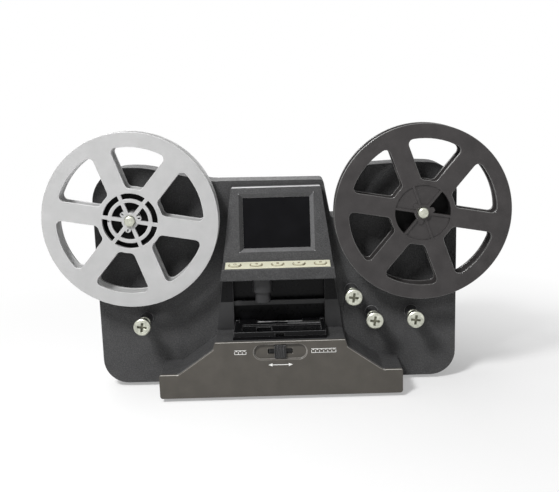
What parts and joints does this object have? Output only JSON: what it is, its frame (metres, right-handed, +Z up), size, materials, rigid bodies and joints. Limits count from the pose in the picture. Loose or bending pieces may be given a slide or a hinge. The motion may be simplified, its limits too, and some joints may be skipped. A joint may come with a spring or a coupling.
{
  "type": "film scanner",
  "caption": "Tabletop film scanner: tall grained plate with two film reels on spindles, film guides, flip-up film gate under a hood with screen and buttons, and a select slider.",
  "frame": {"origin": "on the table, below the middle of the whole object's box", "axes": "+X to the right seen from the front, +Y to the back, +Z up"},
  "size_m": [0.337, 0.094, 0.1975],
  "materials": {
    "plate_plastic": "fine leather-like moulded grain, satin",
    "panel_plastic": "satin, warm dark grey",
    "gate_plastic": "smooth gloss black",
    "knob_plastic": "ribbed matt black",
    "key_plastic": "cream satin",
    "reel_silver": "moulded silver grey, satin",
    "reel_black": "moulded black, satin",
    "screen_dark": "dark glossy screen",
    "nickel": "satin nickel",
    "steel": "plain",
    "brass": "plain",
    "rubber": "matt",
    "felt": "felt",
    "board": "printed board",
    "white_plastic": "translucent white",
    "lens_clear": "coated lens"
  },
  "bodies": {
    "housing": {"front_cover": "plate_plastic", "base_cover": "plate_plastic", "rear_cover": "plate_plastic", "bottom_cover": "plate_plastic", "feet": "rubber", "cover_screws": "steel", "front_panel": "panel_plastic", "select_switch": "knob_plastic", "hood": "plate_plastic", "screen_glass": "screen_dark", "screen_module": "steel", "button_strip": "key_plastic", "button_board": "board", "gate_frame": "gate_plastic", "lens_barrel": "gate_plastic", "lens_glass": "lens_clear", "sensor_board": "board", "gate_plate": "gate_plastic", "presser_pin": "steel", "diffuser": "white_plastic", "light_board": "board", "claw_pin": "steel", "claw_motor": "steel", "guide_screws": "nickel", "supply_bush": "brass", "takeup_bush": "brass", "takeup_motor": "steel", "main_board": "board", "card_slot": "steel", "data_socket": "steel", "power_socket": "gate_plastic"},
    "presser": {"presser_frame": "gate_plastic", "film_spring": "steel"},
    "selector": {"select_slider": "knob_plastic"},
    "claw_arm": {"claw": "steel"},
    "cam": {"claw_cam": "white_plastic"},
    "supply_reel": {"supply_spindle": "nickel", "supply_clip": "steel", "friction_washer": "felt", "supply_flange_front": "reel_silver", "supply_drum": "reel_silver", "supply_flange_rear": "reel_silver"},
    "takeup_reel": {"takeup_spindle": "nickel", "takeup_gear": "white_plastic", "takeup_flange_front": "reel_black", "takeup_drum": "reel_black", "takeup_flange_rear": "reel_black"},
    "drive_pinion": {"motor_pinion": "brass"},
    "key_1": {"button_1": "key_plastic"},
    "key_2": {"button_2": "key_plastic"},
    "key_3": {"button_3": "key_plastic"},
    "key_4": {"button_4": "key_plastic"},
    "key_5": {"button_5": "key_plastic"},
    "roller_left": {"guide_roller_left": "nickel"},
    "roller_high": {"guide_roller_high": "nickel"},
    "roller_near": {"guide_roller_near": "nickel"},
    "roller_far": {"guide_roller_far": "nickel"}
  },
  "joints": [
    {"name": "supply_spin", "type": "hinge", "parent": "housing", "child": "supply_reel", "pos_m": [-0.105, -0.011, 0.134], "axis": [0, 1, 0], "continuous": true},
    {"name": "takeup_spin", "type": "hinge", "parent": "housing", "child": "takeup_reel", "pos_m": [0.105, -0.011, 0.134], "axis": [0, 1, 0], "continuous": true},
    {"name": "pinion_spin", "type": "hinge", "parent": "housing", "child": "drive_pinion", "pos_m": [0.105, 0.015, 0.107], "axis": [0, 1, 0], "continuous": true},
    {"name": "cam_spin", "type": "hinge", "parent": "housing", "child": "cam", "pos_m": [0.014, -0.0311, 0.0269], "axis": [0, 1, 0], "continuous": true},
    {"name": "roller_left_spin", "type": "hinge", "parent": "housing", "child": "roller_left", "pos_m": [-0.1012, -0.0281, 0.0546], "axis": [0, 1, 0], "continuous": true},
    {"name": "roller_high_spin", "type": "hinge", "parent": "housing", "child": "roller_high", "pos_m": [0.0548, -0.0281, 0.0726], "axis": [0, 1, 0], "continuous": true},
    {"name": "roller_near_spin", "type": "hinge", "parent": "housing", "child": "roller_near", "pos_m": [0.07, -0.0281, 0.0546], "axis": [0, 1, 0], "continuous": true},
    {"name": "roller_far_spin", "type": "hinge", "parent": "housing", "child": "roller_far", "pos_m": [0.1, -0.0281, 0.0546], "axis": [0, 1, 0], "continuous": true},
    {"name": "claw_swing", "type": "hinge", "parent": "housing", "child": "claw_arm", "pos_m": [0.028, -0.0311, 0.034], "axis": [0, 1, 0], "range_deg": [0, 3]},
    {"name": "presser_hinge", "type": "hinge", "parent": "housing", "child": "presser", "pos_m": [0, -0.01, 0.0482], "axis": [-1, 0, 0], "range_deg": [0, 36]},
    {"name": "select_slide", "type": "slide", "parent": "housing", "child": "selector", "axis": [1, 0, 0], "range_m": [-0.0055, 0.0055]},
    {"name": "key_1_press", "type": "slide", "parent": "housing", "child": "key_1", "axis": [0, 0.2186, -0.9758], "range_m": [0, 0.0005], "stiffness_N_per_m": 1500},
    {"name": "key_2_press", "type": "slide", "parent": "housing", "child": "key_2", "axis": [0, 0.2186, -0.9758], "range_m": [0, 0.0005], "stiffness_N_per_m": 1500},
    {"name": "key_3_press", "type": "slide", "parent": "housing", "child": "key_3", "axis": [0, 0.2186, -0.9758], "range_m": [0, 0.0005], "stiffness_N_per_m": 1500},
    {"name": "key_4_press", "type": "slide", "parent": "housing", "child": "key_4", "axis": [0, 0.2186, -0.9758], "range_m": [0, 0.0005], "stiffness_N_per_m": 1500},
    {"name": "key_5_press", "type": "slide", "parent": "housing", "child": "key_5", "axis": [0, 0.2186, -0.9758], "range_m": [0, 0.0005], "stiffness_N_per_m": 1500}
  ],
  "couplings": [
    {"joint": "pinion_spin", "follows": "takeup_spin", "ratio": -2.8571}
  ]
}
